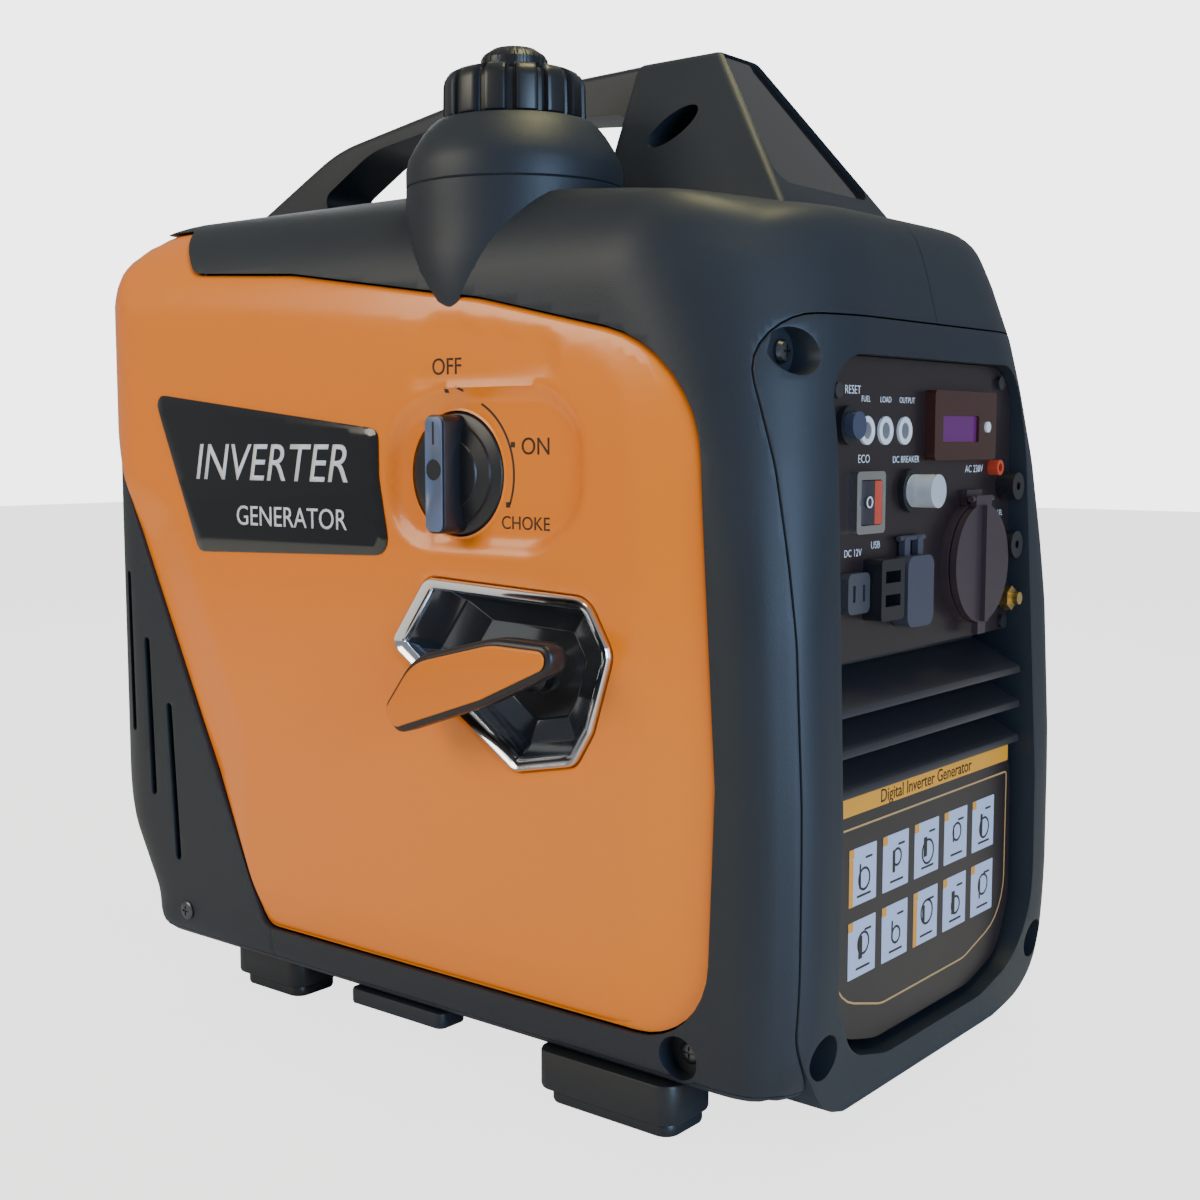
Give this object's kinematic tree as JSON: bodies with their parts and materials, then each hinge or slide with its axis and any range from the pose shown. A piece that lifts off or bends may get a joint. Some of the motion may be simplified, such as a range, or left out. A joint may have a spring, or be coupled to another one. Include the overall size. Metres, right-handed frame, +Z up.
{
  "type": "portable generator",
  "caption": "Suitcase inverter generator with orange side panels, top carrying handle, fuel cap, recoil starter and a recessed control panel at one end.",
  "frame": {"origin": "on the floor, at the centre of the four foot screws, under the middle of the casing", "axes": "+X towards the control panel, -Y towards the starter side, +Z up"},
  "size_m": [0.4588, 0.2939, 0.473],
  "materials": {
    "shell_plastic": "matte, fine moulded texture",
    "panel_orange": "satin",
    "grip_orange": "satin",
    "black_plastic": "satin",
    "gloss_black": "gloss",
    "plate_black": "satin",
    "chrome": "polished",
    "grey_plastic": "satin",
    "grey_rubber": "matte",
    "red_plastic": "gloss",
    "display_glass": "clear",
    "clear_plastic": "clear",
    "brass": "satin",
    "screw_steel": "satin",
    "label_print": "printed",
    "rubber": "matte",
    "rope": "braided",
    "steel": "satin",
    "tank_steel": "satin",
    "cast_aluminium": "cast",
    "ceramic": "gloss",
    "copper": "satin"
  },
  "bodies": {
    "casing": {"base_tray": "shell_plastic", "left_shell": "shell_plastic", "right_shell": "shell_plastic", "end_cover": "shell_plastic", "rear_cover": "shell_plastic", "exhaust_grille": "steel", "exhaust_outlet": "steel", "left_panel": "panel_orange", "right_panel": "panel_orange", "handle": "shell_plastic", "handle_plate": "gloss_black", "badge_plate": "gloss_black", "engine_switch_cup": "black_plastic", "starter_bezel": "chrome", "starter_bowl": "black_plastic", "filler_collar": "shell_plastic", "control_plate": "plate_black", "button_collars": "grey_plastic", "pilot_lamps": "grey_plastic", "display_bezel": "black_plastic", "display_window": "display_glass", "rocker_frame": "black_plastic", "dc_socket": "grey_plastic", "usb_socket": "black_plastic", "ac_socket": "black_plastic", "parallel_jacks": "black_plastic", "signal_jack": "red_plastic", "earth_stud": "brass", "panel_screws": "screw_steel", "louvre_grille": "black_plastic", "instruction_label": "label_print", "cover_screws": "screw_steel", "rubber_feet": "rubber", "fuel_tank": "tank_steel", "crankcase": "cast_aluminium", "engine_mounts": "rubber", "cylinder_head": "cast_aluminium", "spark_plug": "ceramic", "carburettor": "cast_aluminium", "air_filter_box": "black_plastic", "stator": "copper", "recoil_housing": "black_plastic", "muffler": "steel", "inverter_module": "cast_aluminium"},
    "engine_switch": {"engine_switch_knob": "black_plastic"},
    "starter": {"starter_grip": "black_plastic", "grip_insert": "grip_orange", "starter_rope": "rope"},
    "recoil_pulley": {"rope_pulley": "black_plastic"},
    "cap": {"fuel_cap": "black_plastic"},
    "cap_vent": {"vent_knob": "black_plastic"},
    "rotor": {"crankshaft": "steel", "flywheel_fan": "cast_aluminium"},
    "reset_key": {"reset_button": "black_plastic"},
    "display_key": {"display_button": "grey_plastic"},
    "rocker": {"eco_rocker": "red_plastic"},
    "breaker_key": {"breaker_boot": "clear_plastic"},
    "usb_lid": {"usb_cover": "grey_rubber"},
    "socket_lid": {"ac_flap": "black_plastic"},
    "earth_clamp": {"earth_nut": "brass"}
  },
  "joints": [
    {"name": "engine_switch_turn", "type": "hinge", "parent": "casing", "child": "engine_switch", "pos_m": [0.051, -0.131, 0.278], "axis": [0, 1, 0], "range_deg": [0, 112]},
    {"name": "starter_pull", "type": "slide", "parent": "casing", "child": "starter", "axis": [0, -1, 0], "range_m": [0, 0.45], "stiffness_N_per_m": 25, "springref_m": -0.01},
    {"name": "recoil_turn", "type": "hinge", "parent": "casing", "child": "recoil_pulley", "pos_m": [0.045, 0, 0.16], "axis": [0, 1, 0], "range_deg": [0, 690]},
    {"name": "fuel_cap_turn", "type": "hinge", "parent": "casing", "child": "cap", "pos_m": [0.044, -0.082, 0.44], "axis": [0, 0, 1], "range_deg": [0, 120]},
    {"name": "vent_turn", "type": "hinge", "parent": "cap", "child": "cap_vent", "pos_m": [0.044, -0.082, 0.462], "axis": [0, 0, 1], "range_deg": [0, 90]},
    {"name": "rotor_spin", "type": "hinge", "parent": "casing", "child": "rotor", "pos_m": [0.045, 0, 0.16], "axis": [0, 1, 0], "continuous": true},
    {"name": "reset_press", "type": "slide", "parent": "casing", "child": "reset_key", "axis": [-1, 0, 0], "range_m": [0, 0.0018], "stiffness_N_per_m": 400},
    {"name": "display_press", "type": "slide", "parent": "casing", "child": "display_key", "axis": [-1, 0, 0], "range_m": [0, 0.0008], "stiffness_N_per_m": 400},
    {"name": "eco_rock", "type": "hinge", "parent": "casing", "child": "rocker", "pos_m": [0.215, -0.054, 0.267], "axis": [0, 0, 1], "range_deg": [0, 12]},
    {"name": "breaker_press", "type": "slide", "parent": "casing", "child": "breaker_key", "axis": [-1, 0, 0], "range_m": [0, 0.0024], "stiffness_N_per_m": 500},
    {"name": "usb_lid_lift", "type": "hinge", "parent": "casing", "child": "usb_lid", "pos_m": [0.2155, -0.016, 0.2505], "axis": [0, -1, 0], "range_deg": [0, 100], "stiffness_Nm_per_rad": 0.004},
    {"name": "socket_lid_lift", "type": "hinge", "parent": "casing", "child": "socket_lid", "pos_m": [0.2194, 0.045, 0.266], "axis": [0, -1, 0], "range_deg": [0, 110], "stiffness_Nm_per_rad": 0.02},
    {"name": "earth_nut_turn", "type": "hinge", "parent": "casing", "child": "earth_clamp", "pos_m": [0.218, 0.08, 0.217], "axis": [1, 0, 0], "range_deg": [0, 720]}
  ],
  "couplings": [
    {"joint": "recoil_turn", "follows": "starter_pull", "rad_per_m": 26.3}
  ]
}
